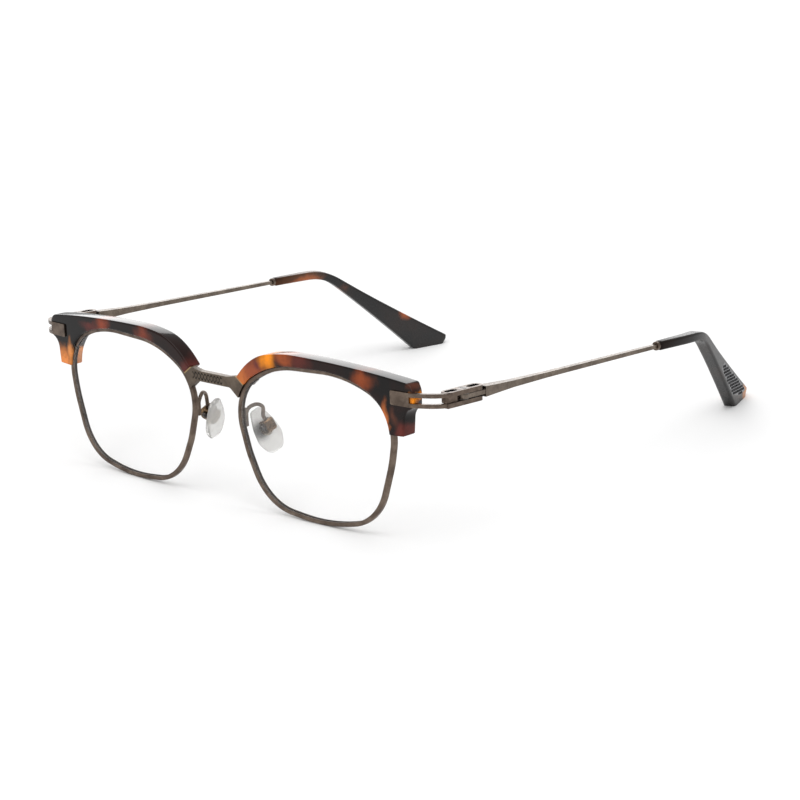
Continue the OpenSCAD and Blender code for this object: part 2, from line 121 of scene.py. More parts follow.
# ---------------------------------------------------------------- outlines
def filleted(corners, steps):
    """A closed outline through corners (x, z, radius), with each corner rounded."""
    out = []
    for i, (x, z, r) in enumerate(corners):
        p = Vector((x, z))
        a = (Vector(corners[i - 1][:2]) - p).normalized()
        b = (Vector(corners[(i + 1) % len(corners)][:2]) - p).normalized()
        if r == 0:
            out.append(p)
            continue
        half = a.angle(b) / 2
        centre = p + (a + b).normalized() * r / math.sin(half)
        s = p + a * r / math.tan(half) - centre
        e = p + b * r / math.tan(half) - centre
        a0 = math.atan2(s.y, s.x)
        d = (math.atan2(e.y, e.x) - a0 + math.pi) % (2 * math.pi) - math.pi
        for k in range(steps + 1):
            t = a0 + d * k / steps
            out.append(centre + r * Vector((math.cos(t), math.sin(t))))
    return out


def grown(corners, d):
    """The same convex corners, moved outwards by d."""
    out = []
    for i, (x, z, r) in enumerate(corners):
        p = Vector((x, z))
        a = (Vector(corners[i - 1][:2]) - p).normalized()
        b = (Vector(corners[(i + 1) % len(corners)][:2]) - p).normalized()
        q = p - (a + b).normalized() * d / math.sin(a.angle(b) / 2)
        out.append((q.x, q.y, r + d))
    return out


def resampled(points, count, closed=False):
    """Points at equal steps along a path."""
    path = list(points) + ([points[0]] if closed else [])
    lengths = [0.0]
    for a, b in zip(path, path[1:]):
        lengths.append(lengths[-1] + (b - a).length)
    out, j = [], 0
    for i in range(count):
        t = lengths[-1] * i / (count if closed else count - 1)
        while j < len(path) - 2 and lengths[j + 1] < t:
            j += 1
        span = lengths[j + 1] - lengths[j]
        out.append(path[j].lerp(path[j + 1], 0 if span == 0 else (t - lengths[j]) / span))
    return out


def lens_outline(d, count):
    return resampled(filleted(grown(LENS_CORNERS, d), 24), count, closed=True)


def inside(p, polygon):
    hit = False
    for a, b in zip(polygon, polygon[1:] + polygon[:1]):
        if (a.y > p.y) != (b.y > p.y) and p.x < (b.x - a.x) * (p.y - a.y) / (b.y - a.y) + a.x:
            hit = not hit
    return hit


def crossing(a, b, c, d):
    """The share of a-b at which it meets segment c-d, or None."""
    u, v, w = b - a, d - c, c - a
    k = u.x * v.y - u.y * v.x
    if abs(k) < 1e-12:
        return None
    s, t = (w.x * v.y - w.y * v.x) / k, (w.x * u.y - w.y * u.x) / k
    return s if 0 <= s <= 1 and 0 <= t <= 1 else None


def first_crossing(a, b, outline):
    """The smallest share of a-b at which it meets a closed outline, or None."""
    shares = [crossing(a, b, c, d) for c, d in zip(outline, outline[1:] + outline[:1])]
    return min((s for s in shares if s is not None), default=None)


def smoothstep(t):
    t = max(0.0, min(1.0, t))
    return t * t * (3 - 2 * t)


# ---------------------------------------------------------------- meshes
def new_object(name, verts, faces, place=Matrix.Identity(4)):
    mesh = bpy.data.meshes.new(name)
    mesh.from_pydata([place @ Vector(v) for v in verts], [], faces)
    mesh.validate()
    bm = bmesh.new()
    bm.from_mesh(mesh)
    bmesh.ops.recalc_face_normals(bm, faces=bm.faces)
    bm.to_mesh(mesh)
    bm.free()
    obj = bpy.data.objects.new(name, mesh)
    bpy.context.scene.collection.objects.link(obj)
    return obj


def baked(obj):
    """Applies every modifier of obj."""
    graph = bpy.context.evaluated_depsgraph_get()
    mesh = bpy.data.meshes.new_from_object(obj.evaluated_get(graph), depsgraph=graph)
    obj.modifiers.clear()
    old, obj.data = obj.data, mesh
    bpy.data.meshes.remove(old)
    return obj


def smoothed(obj, angle=40):
    for polygon in obj.data.polygons:
        polygon.use_smooth = True
    obj.data.set_sharp_from_angle(angle=math.radians(angle))
    return obj


def bevelled(obj, width, segments=2):
    m = obj.modifiers.new("bevel", "BEVEL")
    m.width = width * MM
    m.segments = segments
    m.limit_method = "ANGLE"
    m.angle_limit = math.radians(30)
    m.use_clamp_overlap = True
    return baked(obj)


def weighted(obj):
    """Keeps flat faces flat in shading, beside the narrow faces of a bevel."""
    m = obj.modifiers.new("normals", "WEIGHTED_NORMAL")
    m.keep_sharp = True
    m.weight = 80
    return baked(obj)


def minus(obj, cutter):
    """Cuts cutter out of obj, and removes cutter."""
    m = obj.modifiers.new("cut", "BOOLEAN")
    m.operation = "DIFFERENCE"
    m.solver = "EXACT"
    m.object = cutter
    baked(obj)
    bpy.data.objects.remove(cutter)


def joined(obj, other):
    """Adds other's mesh to obj, and removes other."""
    bm = bmesh.new()
    bm.from_mesh(obj.data)
    bm.from_mesh(other.data)
    bpy.data.objects.remove(other)
    bm.to_mesh(obj.data)
    bm.free()


def cad_copy(node, name):
    """A clean copy of a CAD node's mesh: welded, and with its flat faces in one piece."""
    bm = bmesh.new()
    bm.from_mesh(nodes[node].data)
    bmesh.ops.remove_doubles(bm, verts=bm.verts, dist=2e-6)
    bmesh.ops.dissolve_limit(bm, angle_limit=math.radians(0.2), verts=bm.verts, edges=bm.edges)
    bm.verts.index_update()
    verts = [v.co.copy() for v in bm.verts]
    faces = [[v.index for v in f.verts] for f in bm.faces]
    bm.free()
    return new_object(name, verts, faces)


def lofted(rings):
    """Points and faces of a solid through rings of equal length."""
    m, faces = len(rings[0]), []
    for i in range(len(rings) - 1):
        j = i + 1
        for k in range(m):
            n = (k + 1) % m
            faces.append([i * m + k, i * m + n, j * m + n, j * m + k])
    faces.append(list(range(m - 1, -1, -1)))
    faces.append([(len(rings) - 1) * m + k for k in range(m)])
    return [p for ring in rings for p in ring], faces


def tube(points, radius, count=60, around=16):
    """Rings of a round wire along a smooth path through the points."""
    path = [2 * points[0] - points[1], *points, 2 * points[-1] - points[-2]]
    line = []
    for i in range(1, len(path) - 2):
        p0, p1, p2, p3 = path[i - 1:i + 3]
        for k in range(12):
            t = k / 12
            line.append(0.5 * (2 * p1 + (p2 - p0) * t + (2 * p0 - 5 * p1 + 4 * p2 - p3) * t * t
                               + (3 * p1 - p0 - 3 * p2 + p3) * t ** 3))
    line.append(path[-2])
    line = resampled(line, count)
    side = (line[1] - line[0]).orthogonal().normalized()
    rings = []
    for i, p in enumerate(line):
        ahead = (line[min(i + 1, count - 1)] - line[max(i - 1, 0)]).normalized()
        side = (side - ahead * side.dot(ahead)).normalized()
        up = ahead.cross(side)
        rings.append([p + radius * (side * math.cos(2 * math.pi * k / around)
                                    + up * math.sin(2 * math.pi * k / around)) for k in range(around)])
    return rings


def prism(outline, y0, y1, place, name="cutter"):
    """A front-view outline carried straight back from y0 to y1."""
    rings = [[(x, y, z) for x, z in outline] for y in (y0, y1)]
    return new_object(name, *lofted(rings), place)


# ---------------------------------------------------------------- materials
class Finish:
    """A node material with one Principled shader."""

    def __init__(self, name):
        self.material = bpy.data.materials.new(name)
        self.material.use_nodes = True
        self.tree = self.material.node_tree
        self.shader = self.tree.nodes["Principled BSDF"]

    def node(self, kind, inputs=None, **settings):
        n = self.tree.nodes.new(kind)
        for key, value in settings.items():
            setattr(n, key, value)
        for key, value in (inputs or {}).items():
            self.put(n.inputs[key], value)
        return n

    def put(self, socket, value):
        if isinstance(value, bpy.types.NodeSocket):
            self.tree.links.new(value, socket)
        else:
            socket.default_value = value

    def set(self, **values):
        for key, value in values.items():
            self.put(self.shader.inputs[key.replace("_", " ")], value)

    def place(self):
        """Position in the row frame, in millimetres."""
        at = self.node("ShaderNodeTexCoord").outputs["Object"]
        return self.vector("MULTIPLY", at, (1 / MM,) * 3)

    def noise(self, at, scale, detail, rough=0.5, output="Fac"):
        values = {"Vector": at, "Scale": scale, "Detail": detail, "Roughness": rough}
        return self.node("ShaderNodeTexNoise", values).outputs[output]

    def span(self, value, low, high, out_low=0.0, out_high=1.0):
        """A smooth step from out_low to out_high as value goes from low to high."""
        limits = {"From Min": low, "From Max": high, "To Min": out_low, "To Max": out_high}
        return self.node("ShaderNodeMapRange", {"Value": value, **limits},
                         interpolation_type="SMOOTHSTEP").outputs["Result"]

    def mix(self, share, a, b):
        n = self.node("ShaderNodeMix", data_type="RGBA")
        self.put(n.inputs[0], share)
        self.put(n.inputs[6], a)
        self.put(n.inputs[7], b)
        return n.outputs[2]

    def ramp(self, value, *stops):
        n = self.node("ShaderNodeValToRGB", {"Fac": value})
        ramp = n.color_ramp
        while len(ramp.elements) < len(stops):
            ramp.elements.new(0.5)
        for element, (at, colour) in zip(ramp.elements, stops):
            element.position = at
            element.color = (*colour, 1)
        return n.outputs["Color"]

    def math(self, operation, a, b=0.0):
        return self.node("ShaderNodeMath", {0: a, 1: b}, operation=operation).outputs[0]

    def vector(self, operation, a, b):
        return self.node("ShaderNodeVectorMath", {0: a, 1: b}, operation=operation).outputs[0]

    def warped(self, at, scale, detail, amount):
        """The position, shifted by up to half of amount each way, for cloudy borders."""
        shift = self.noise(at, scale, detail, output="Color")
        shift = self.vector("SUBTRACT", shift, (0.5, 0.5, 0.5))
        return self.vector("ADD", at, self.vector("MULTIPLY", shift, (amount,) * 3))

    def uneven(self, at, scale, detail, low, high):
        """A value that drifts between low and high, as roughness does on a handled surface."""
        return self.span(self.noise(at, scale, detail), 0.3, 0.7, low, high)

    def bump(self, height, strength, distance):
        values = {"Height": height, "Strength": strength, "Distance": distance * MM}
        self.put(self.shader.inputs["Normal"], self.node("ShaderNodeBump", values).outputs[0])

    def patch(self, at, centre, size, edge):
        """1 in the middle of an ellipsoid, up to the share edge of its size, and 0 at its surface."""
        away = self.vector("DIVIDE", self.vector("SUBTRACT", at, centre), size)
        length = self.node("ShaderNodeVectorMath", {0: away}, operation="LENGTH").outputs["Value"]
        return self.span(length, 1.0, edge)


def bronze(name, light, dark, roughness):
    """Antique bronze: brushed metal with a darker, uneven patina."""
    f = Finish(name)
    at = f.place()
    patina = f.noise(at, 0.35, 4, 0.6)
    grain = f.noise(at, 4.5, 2)
    middle = tuple((a + b) / 2 for a, b in zip(light, dark))
    colour = f.ramp(patina, (0.3, dark), (0.52, middle), (0.72, light))
    colour = f.mix(f.span(grain, 0.35, 0.75, 0, 0.22), colour, (*dark, 1))
    f.set(Base_Color=colour, Metallic=1.0,
          Roughness=f.uneven(at, 1.7, 3, roughness - 0.06, roughness + 0.1))
    f.bump(grain, 0.12, 0.03)
    return f


BROW_MID_Y = -70


def tortoise(name, patches):
    """Polished acetate, nearly black, with cloudy patches right through it.

    Each patch: x, z, half width, half height, colour, share of it that has the full colour.
    """
    f = Finish(name)
    cloudy = f.warped(f.place(), 0.22, 3, 5)
    base = f.noise(cloudy, 0.09, 2)
    colour = f.ramp(base, (0.42, (0.005, 0.004, 0.004)), (0.62, (0.014, 0.005, 0.004)))
    for x, z, half_w, half_h, shade, edge in patches:
        spot = f.patch(cloudy, (x, BROW_MID_Y, z), (half_w, 30, half_h), edge)
        colour = f.mix(spot, colour, (*shade, 1))
    fine = f.noise(cloudy, 0.9, 3)
    colour = f.mix(f.span(fine, 0.5, 0.8, 0, 0.25), colour, (0.016, 0.008, 0.006, 1))
    f.set(Base_Color=colour, Roughness=f.span(fine, 0.3, 0.7, 0.07, 0.13), IOR=1.45,
          Specular_IOR_Level=0.22)
    return f


AMBER, HONEY, ORANGE = (1.0, 0.30, 0.008), (0.92, 0.29, 0.06), (0.58, 0.16, 0.035)
RUST, BRICK, DARK_RED = (0.28, 0.055, 0.012), (0.34, 0.07, 0.015), (0.10, 0.016, 0.011)
brow_finish = {
    "left": tortoise("tortoise_left", [
        (14.5, 36, 7, 7, (0.30, 0.066, 0.024), 0.2),
        (11, 33.2, 4.8, 5.6, ORANGE, 0.1),
        (16.8, 38.2, 2, 2.2, (0.13, 0.026, 0.022), 0),
        (26.8, 41.6, 5, 3.2, BRICK, 0.05),
        (20.8, 40.5, 4.4, 5.8, AMBER, 0.05),
        (32, 41, 6, 3.2, DARK_RED, 0.05),
        (52.5, 39.6, 5.6, 3.6, RUST, 0),
        (59.3, 30.5, 1.7, 6, (0.60, 0.16, 0.035), 0.05),
        (64.4, 28, 3.5, 3.4, (0.12, 0.02, 0.014), 0.05),
        (62.4, 31.6, 2, 3, (0.09, 0.028, 0.015), 0),
        (68.4, 36.2, 2.6, 1.9, AMBER, 0.15),
        (68.4, 39.2, 2.6, 1.7, (0.10, 0.026, 0.012), 0.05)]),
    "right": tortoise("tortoise_right", [
        (-10.5, 33, 4, 4, (0.10, 0.018, 0.014), 0.05),
        (-27, 39.7, 4.6, 4, (0.20, 0.036, 0.015), 0),
        (-50, 38.9, 6.5, 2, (0.10, 0.016, 0.012), 0),
        (-44.5, 40.3, 4.4, 3, (0.27, 0.045, 0.015), 0),
        (-42.5, 38.5, 3.4, 1.1, (0.50, 0.22, 0.06), 0.05),
        (-63.3, 27, 4.4, 7, HONEY, 0.1),
        (-60, 30, 1.8, 6, (0.75, 0.27, 0.07), 0.15)]),
}
metal = bronze("bronze_metal", (0.21, 0.162, 0.128), (0.082, 0.060, 0.048), 0.34)
temple_metal = bronze("temple_metal", (0.225, 0.185, 0.15), (0.11, 0.088, 0.072), 0.32)
pad_metal = bronze("pad_bronze", (0.27, 0.17, 0.09), (0.10, 0.062, 0.034), 0.28)


BRIDGE_FRONT, BRIDGE_Z = -1.1, 32.1
WAVE_TURN, WAVE_HEIGHT = 2.6, 0.8  # radians per millimetre along x, and millimetres each way


def bridge_finish():
    """Bronze whose front has two crossing waves engraved over the middle of the bar."""
    f = Finish("bridge_metal")
    at = f.place()
    patina = f.noise(at, 0.35, 4, 0.6)
    parts = f.node("ShaderNodeSeparateXYZ", {0: at})
    x, y, z = parts.outputs[0], parts.outputs[1], parts.outputs[2]
    # The engraved area, on the front only
    front = in_front("left") @ Vector((0, BRIDGE_FRONT, BRIDGE_Z)) / MM
    area = f.math("MULTIPLY", f.span(x, -8.2, -7.6), f.span(x, 3.8, 3.2))
    area = f.math("MULTIPLY", area, f.span(y, front.y + 0.6, front.y + 0.3))
    wave = f.math("MULTIPLY", f.math("SINE", f.math("MULTIPLY", x, WAVE_TURN)), WAVE_HEIGHT)
    off = f.math("SUBTRACT", z, front.z)
    apart = f.math("MINIMUM", f.math("ABSOLUTE", f.math("SUBTRACT", off, wave)),
                   f.math("ABSOLUTE", f.math("ADD", off, wave)))
    lines = f.math("MULTIPLY", f.span(apart, 0.34, 0.12), area)
    colour = f.ramp(patina, (0.3, (0.085, 0.066, 0.052)), (0.7, (0.17, 0.134, 0.102)))
    colour = f.mix(lines, colour, (0.02, 0.015, 0.011, 1))
    # A painted highlight: a brighter, brassy line along each brow seat
    along = Vector(NOSE_B) - Vector(NOSE_A)
    out = Vector((along.y, -along.x)).normalized()
    seat = f.math("ADD", f.math("MULTIPLY", f.math("ABSOLUTE", x), out.x), f.math("MULTIPLY", z, out.y))
    seat = f.math("SUBTRACT", seat, NOSE_A[0] * out.x + (NOSE_A[1] + 0.15) * out.y)
    painted_seat_highlight = f.math("MULTIPLY", f.span(seat, 0.42, 0.3), f.span(seat, -0.6, -0.5))
    colour = f.mix(f.math("MULTIPLY", painted_seat_highlight, 0.8), colour, (0.42, 0.29, 0.14, 1))
    f.set(Base_Color=colour, Metallic=1.0, Roughness=0.36)
    f.bump(f.math("SUBTRACT", f.noise(at, 3.5, 2), lines), 0.7, 0.12)
    return f


bridge_metal = bridge_finish()


def dark_steel():
    f = Finish("dark_screw")
    at = f.place()
    colour = f.ramp(f.noise(at, 2.5, 3), (0.35, (0.05, 0.045, 0.042)), (0.65, (0.12, 0.105, 0.095)))
    f.set(Base_Color=colour, Metallic=1.0, Roughness=f.uneven(at, 5, 2, 0.2, 0.34))
    f.bump(f.noise(at, 7, 2), 0.15, 0.02)
    return f


def bright_metal():
    f = Finish("bright_metal")
    at = f.place()
    colour = f.ramp(f.noise(at, 1.5, 3), (0.35, (0.34, 0.29, 0.23)), (0.7, (0.55, 0.49, 0.41)))
    f.set(Base_Color=colour, Metallic=1.0, Roughness=f.uneven(at, 4, 2, 0.2, 0.32))
    return f


def tip_finish(name, patches):
    """Satin dark acetate with a few amber clouds: centre, size, colour, share in full colour."""
    f = Finish(name)
    at = f.place()
    cloudy = f.warped(at, 0.2, 2, 3)
    fine = f.noise(at, 2.2, 4)
    base = f.noise(cloudy, 0.12, 2)
    colour = f.ramp(base, (0.4, (0.010, 0.0095, 0.0095)), (0.65, (0.018, 0.012, 0.010)))
    for centre, size, shade, edge in patches:
        colour = f.mix(f.patch(cloudy, centre, size, edge), colour, (*shade, 1))
    along = f.node("ShaderNodeSeparateXYZ", {0: at}).outputs[1]
    f.set(Base_Color=colour, Roughness=f.span(fine, 0.3, 0.7, 0.26, 0.36), IOR=1.5,
          Specular_IOR_Level=f.span(along, 16, 36, 0.04, 0.45))
    f.bump(fine, 0.06, 0.03)
    return f


tips = {
    "left": tip_finish("tip_acetate_left", [
        ((57.5, 71.5, 1.2), (4.6, 5.6, 5), (0.50, 0.18, 0.045), 0.5)]),
    "right": tip_finish("tip_acetate_right", [
        ((-72.5, 26, 28.6), (4, 17, 3.4), (0.085, 0.036, 0.018), 0.5),
        ((-71.6, 28, 28), (3, 10, 1.6), (0.36, 0.10, 0.03), 0.0),
        ((-69.5, 41.5, 23.2), (3, 4, 2.4), (0.34, 0.09, 0.028), 0.0),
        ((-62, 59.5, 11.6), (4, 3.0, 2.4), (0.40, 0.09, 0.02), 0.05)]),
}


def rubber():
    f = Finish("grip_rubber")
    at = f.place()
    colour = f.ramp(f.noise(at, 3, 3), (0.3, (0.15, 0.15, 0.155)), (0.7, (0.23, 0.23, 0.24)))
    f.set(Base_Color=colour, Roughness=0.42)
    f.bump(f.noise(at, 9, 2), 0.1, 0.02)
    return f


# Near-black and dull: painted shade for the grip's pits and the end pieces' pockets
def pit_shade_paint():
    f = Finish("painted_recess_shade")
    at = f.place()
    colour = f.ramp(f.noise(at, 3, 2), (0.3, (0.002, 0.002, 0.003)), (0.7, (0.006, 0.006, 0.008)))
    f.set(Base_Color=colour, Roughness=0.8, Specular_IOR_Level=0.15)
    return f


def silicone():
    """Clear, slightly milky silicone, with painted shade where the left pad would show its metal bent
    through it, and painted dark rims at glancing angles.
    """
    f = Finish("clear_silicone")
    at = f.place()
    body = f.ramp(f.noise(at, 0.5, 2), (0.3, (0.80, 0.79, 0.77)), (0.7, (0.90, 0.895, 0.88)))
    # Painted dark rims: the colour darkens towards glancing angles, standing in for refraction at the
    # pad's edges
    edge = f.node("ShaderNodeLayerWeight", {"Blend": 0.35}).outputs["Facing"]
    # Painted shade: a dark patch on the left pad where its metal would show through it, bent by
    # refraction
    seen = in_pad("left") @ Vector((-1.6, -1.8, -0.4)) / MM
    shade = f.patch(at, seen, (3.6, 3.6, 3.6), 0.25)
    colour = f.mix(f.math("MULTIPLY", shade, 0.9), body, (0.03, 0.028, 0.025, 1))
    colour = f.mix(f.span(edge, 0.5, 0.93), colour, (0.10, 0.093, 0.085, 1))
    f.set(Base_Color=colour, Roughness=f.uneven(at, 2, 2, 0.06, 0.12), IOR=1.41,
          Transmission_Weight=0.6)
    return f


def nylon():
    f = Finish("nylon")
    at = f.place()
    colour = f.ramp(f.noise(at, 2, 2), (0.3, (0.1, 0.09, 0.08)), (0.7, (0.16, 0.145, 0.13)))
    f.set(Base_Color=colour, Roughness=0.45)
    return f


def lens_glass():
    """Thin clear lens: only its reflections show."""
    f = Finish("clear_lens")
    at = f.place()
    colour = f.ramp(f.noise(at, 0.05, 1), (0.3, (0.96, 0.97, 0.97)), (0.7, (1.0, 1.0, 1.0)))
    f.set(Base_Color=colour, Roughness=0.02, IOR=1.4, Alpha=0.05)
    return f


screw_metal, insert_metal, grip, pits = dark_steel(), bright_metal(), rubber(), pit_shade_paint()
pad_silicone, washer_nylon, glass = silicone(), nylon(), lens_glass()


# ---------------------------------------------------------------- pieces
def shown(obj, finish, body, slot, *replaced):
    """Gives a finished piece its materials, hangs it on its body and hides the CAD parts it replaces.
    """
    for f in finish if isinstance(finish, list) else [finish]:
        obj.data.materials.append(f.material)
    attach(obj, body)
    if replaced:
        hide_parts(*replaced)
    return obj


def rim_section():
    """Section of the eyewire: (outwards, back), rounded outside, with the lens groove inside."""
    half = LENS_T / 2
    inner = RIM_OUT - GROOVE
    points = []
    for s, r, start in ((RIM_OUT, 0.42, 0), (-RIM_OUT, 0.14, 90)):
        cx, cy = s - math.copysign(r, s), RIM_BACK - r
        turn = [math.radians(start + 15 * k) for k in range(7)]
        points += [(cx + r * math.cos(t), cy + r * math.sin(t)) for t in turn]
    points += [(-RIM_OUT, half), (-inner, half)]
    return points + [(s, -y) for s, y in reversed(points)]


def make_rim(side):
    """The eyewire, open at the saw cut of the rim lock."""
    line = lens_outline(0, 420)
    low, high = RIM_CUT_Z - RIM_CUT_HALF, RIM_CUT_Z + RIM_CUT_HALF
    after = line[1:] + line[:1]
    start = next(i for i, (p, q) in enumerate(zip(line, after)) if p.x > OUTER_X and p.y <= high < q.y)
    path = after[start:] + after[:start]
    while path[-1].y > low and path[-1].x > OUTER_X:
        path.pop()
    rings = []
    for i, p in enumerate(path):
        a, b = path[max(i - 1, 0)], path[min(i + 1, len(path) - 1)]
        t = (b - a).normalized()
        out = Vector((t.y, -t.x))
        section = [(p + out * s, depth) for s, depth in rim_section()]
        rings.append([(q.x, bowed_y(q.x, depth), q.y) for q, depth in section])
    obj = new_object("rim_" + side + "_wire", *lofted(rings), in_front(side))
    shown(smoothed(obj, 50), metal, "front", "bronze_metal", "rim_" + side)


def make_lens(side):
    """A thin bowed disc whose edge sits in the eyewire's groove."""
    outline = lens_outline(-RIM_OUT + GROOVE, 220)
    centre = sum(outline, Vector((0, 0))) / len(outline)
    rings = []
    shares = (0.12, 0.3, 0.5, 0.7, 0.87, 1)
    for off, order in ((-LENS_T / 2, shares), (LENS_T / 2, shares[::-1])):
        for share in order:
            ring = [centre + (p - centre) * share for p in outline]
            rings.append([(p.x, bowed_y(p.x, off), p.y) for p in ring])
    obj = new_object("lens_" + side + "_clear", *lofted(rings), in_front(side))
    shown(smoothed(obj, 50), glass, "front", "clear_lens", "lens_" + side)


def brow_paths():
    """The brow's outer edge from nose to leg and its lens edge, as paths of matching points."""
    edge = filleted(BROW_CORNERS, 16)
    # The brow before its lens opening is cut out, closed below through that opening
    blank = edge + [Vector((40, 30)), Vector((16, 30)), Vector(NOSE_B)]
    opening = [p + Vector(LIP_SHIFT) for p in lens_outline(0, 700)]
    kept = [inside(p, blank) for p in opening]
    count = len(opening)
    start = next(i for i in range(count) if kept[i] and not kept[i - 1] and opening[i].x > OUTER_X)

    def border(a, b):
        return a.lerp(b, first_crossing(a, b, blank))

    run = [border(opening[start - 1], opening[start])]
    i = start
    while kept[i % count]:
        run.append(opening[i % count])
        i += 1
    run.append(border(run[-1], opening[i % count]))
    inner, outer = run[::-1], edge[:-1]

    def nearest(path, point):
        return min(range(len(path)), key=lambda k: (path[k] - Vector(point)).length)

    def matched(path, places):
        """The path in stretches that end at the points nearest to places, each in equal steps."""
        marks = [0, *(nearest(path, p) for p in places), len(path) - 1]
        points = []
        for low, high, steps in zip(marks, marks[1:], (36, 60, 26, 18, 16, 30)):
            points += resampled(path[low:high + 1], steps + 1)[:steps]
        return points + [path[-1]]

    return (matched(outer, ((21.5, 41.5), (58, 41.2), (68.2, 39.2), (68.6, 34.8), (66.2, 33.1))),
            matched(inner, ((22, 37.6), (54, 36.8), (58, 35.2), (59.4, 33.3), (59.9, 32))))


def brow_section(length, groove, r, inset):
    """Section of the brow: (from the outer edge, back), with round edges and the eyewire's groove."""
    out = []
    front, back, low, high = -BROW_FRONT + inset, BROW_BACK - inset, inset, length - inset
    turn = [math.radians(15 * k) for k in range(7)]
    flat = [low + r + (high - low - 2 * r) * k / 7 for k in range(1, 7)]
    out += [(low + r - r * math.cos(a), front + r - r * math.sin(a)) for a in turn]
    out += [(s, front) for s in flat]
    out += [(high - r + r * math.sin(a), front + r - r * math.cos(a)) for a in turn]
    out += [(high, -RIM_BACK), (groove, -RIM_BACK), (groove, RIM_BACK), (high, RIM_BACK)]
    out += [(high - r + r * math.cos(a), back - r + r * math.sin(a)) for a in turn]
    out += [(s, back) for s in reversed(flat)]
    out += [(low + r - r * math.sin(a), back - r + r * math.cos(a)) for a in turn]
    return out


def make_brow(side):
    """The acetate brow: sections from the outer edge to the lens edge, with rounded ends."""
    outer, inner = brow_paths()
    rim = lens_outline(RIM_OUT, 260)
    edge, cap = 0.42, 0.28
    rings = []
    for i, (a, b) in enumerate(zip(outer, inner)):
        ahead = (outer[min(i + 1, len(outer) - 1)] - outer[max(i - 1, 0)]).normalized()
        # 1 where the outline runs down the outer side, 0 along the top
        facing = max(0.0, -ahead.y) * smoothstep((a.x - 66.4) / 1.6)
        length = (b - a).length
        share = first_crossing(a, b, rim)
        groove = length if share is None else share * length
        stops = [(0.0, edge, 0.0)]
        if i == 0:
            stops = [(0.0, edge * 0.4, cap * 0.8), (cap, edge, 0.0)]
        if i == len(outer) - 1:
            stops = [(-cap, edge, 0.0), (0.0, edge * 0.4, cap * 0.8)]
        if i == 0:
            along = (outer[1] - a + inner[1] - b).normalized()
        else:
            along = (a - outer[i - 1] + b - inner[i - 1]).normalized()
        for shift, r, inset in stops:
            ring = []
            for s, off in brow_section(length, min(groove, length - inset), r, inset):
                lead = DRAFT * facing * max(0.0, off - DRAFT_FROM) / (BROW_BACK - DRAFT_FROM)
                p = a.lerp(b, (s + lead * (1 - s / length)) / length) + along * shift
                ring.append((p.x, bowed_y(p.x, off), p.y))
            rings.append(ring)
    obj = new_object("brow_" + side + "_acetate", *lofted(rings), in_front(side))
    shown(smoothed(obj, 28), brow_finish[side], "front", "tortoise_acetate", "brow_" + side)


def tip_direction(d):
    """The way the tip's middle line runs, d from its start."""
    bent = smoothstep((d - TIP_STRAIGHT) / TIP_BEND)
    led = smoothstep((d + TIP_LEAD - TIP_STRAIGHT) / TIP_BEND)
    e, a = math.radians(-TIP_DROP * bent), math.radians(TIP_INWARD * led)
    return Vector((-math.sin(a) * math.cos(e), math.cos(a) * math.cos(e), math.sin(e)))


def tip_line(steps):
    """Points of the tip's middle line, at equal steps."""
    line = [Vector((0, TIP_START, 0))]
    for i in range(steps):
        line.append(line[-1] + tip_direction((i + 0.5) * TIP_LEN / steps) * TIP_LEN / steps)
    return line


def rounded_box(half_w, half_h, radius, steps=7):
    """Points of a rounded box section, with a few more along each flat."""
    points = []
    for quarter, (sx, sy) in enumerate(((1, 1), (-1, 1), (-1, -1), (1, -1))):
        cx, cy = sx * (half_w - radius), sy * (half_h - radius)
        for k in range(steps + 1):
            t = math.radians(90 * quarter + 90 * k / steps)
            points.append(Vector((cx + radius * math.cos(t), cy + radius * math.sin(t))))
        tx, ty = ((-1, 1), (-1, -1), (1, -1), (1, 1))[quarter]
        flat = Vector((tx * (half_w - radius), ty * half_h) if quarter % 2 == 0
                      else (tx * half_w, ty * (half_h - radius)))
        points += [points[-1].lerp(flat, k / 5) for k in range(1, 5)]
    return points


def make_tip(side):
    """The temple tip, cut flat where it stands on the table, with the grip's seat cut out."""
    rings, steps = [], 134
    neck, end_round, table_z = 1.2, 1.2, 0.02
    for i, at in enumerate(tip_line(steps)):
        d = TIP_LEN * i / steps
        ahead = tip_direction(d)
        out = ahead.cross(Vector((0, 0, 1))).normalized()
        up = out.cross(ahead)
        half_w = neck + 0.6 * min(1, d / TIP_FLARE)
        half_h = neck + 4 * (max(0, d - TIP_FLARE) / (TIP_LEN - TIP_FLARE)) ** 1.4
        end = max(0.0, (d - (TIP_LEN - end_round)) / end_round)
        shrink = math.sqrt(max(0.0, 1 - 0.8 * end * end))
        start = min(1.0, 0.82 + 0.18 * d / 0.5)
        section = rounded_box(half_w * shrink * start, half_h * shrink * start,
                              min(half_w, half_h) * (0.62 - 0.2 * min(1, d / 30)) * shrink)
        rings.append([at + out * x + up * y for x, y in section])
    obj = new_object("temple_tip_" + side + "_acetate", *lofted(rings), in_hinge(side))
    bm = bmesh.new()
    bm.from_mesh(obj.data)
    cut = bmesh.ops.bisect_plane(bm, geom=bm.verts[:] + bm.edges[:] + bm.faces[:],
                                 plane_co=(0, 0, table_z * MM), plane_no=(0, 0, -1),
                                 clear_outer=True)
    edges = [g for g in cut["geom_cut"] if isinstance(g, bmesh.types.BMEdge)]
    bmesh.ops.contextual_create(bm, geom=edges)
    bmesh.ops.recalc_face_normals(bm, faces=bm.faces)
    bm.to_mesh(obj.data)
    bm.free()
    minus(obj, grip_prism(side, GRIP_X[0] - 0.05, 3))
    smoothed(obj, 40)
    shown(obj, tips[side], side + "_temple", "dark_acetate", "temple_tip_" + side)


def paddle_frame(side):
    """The place at the tip's end, with y along the straight part there and x out of its side."""
    end = tip_line(22)[-1]
    return in_hinge(side) @ moved(*end) @ turned(-TIP_DROP, 0, TIP_INWARD)


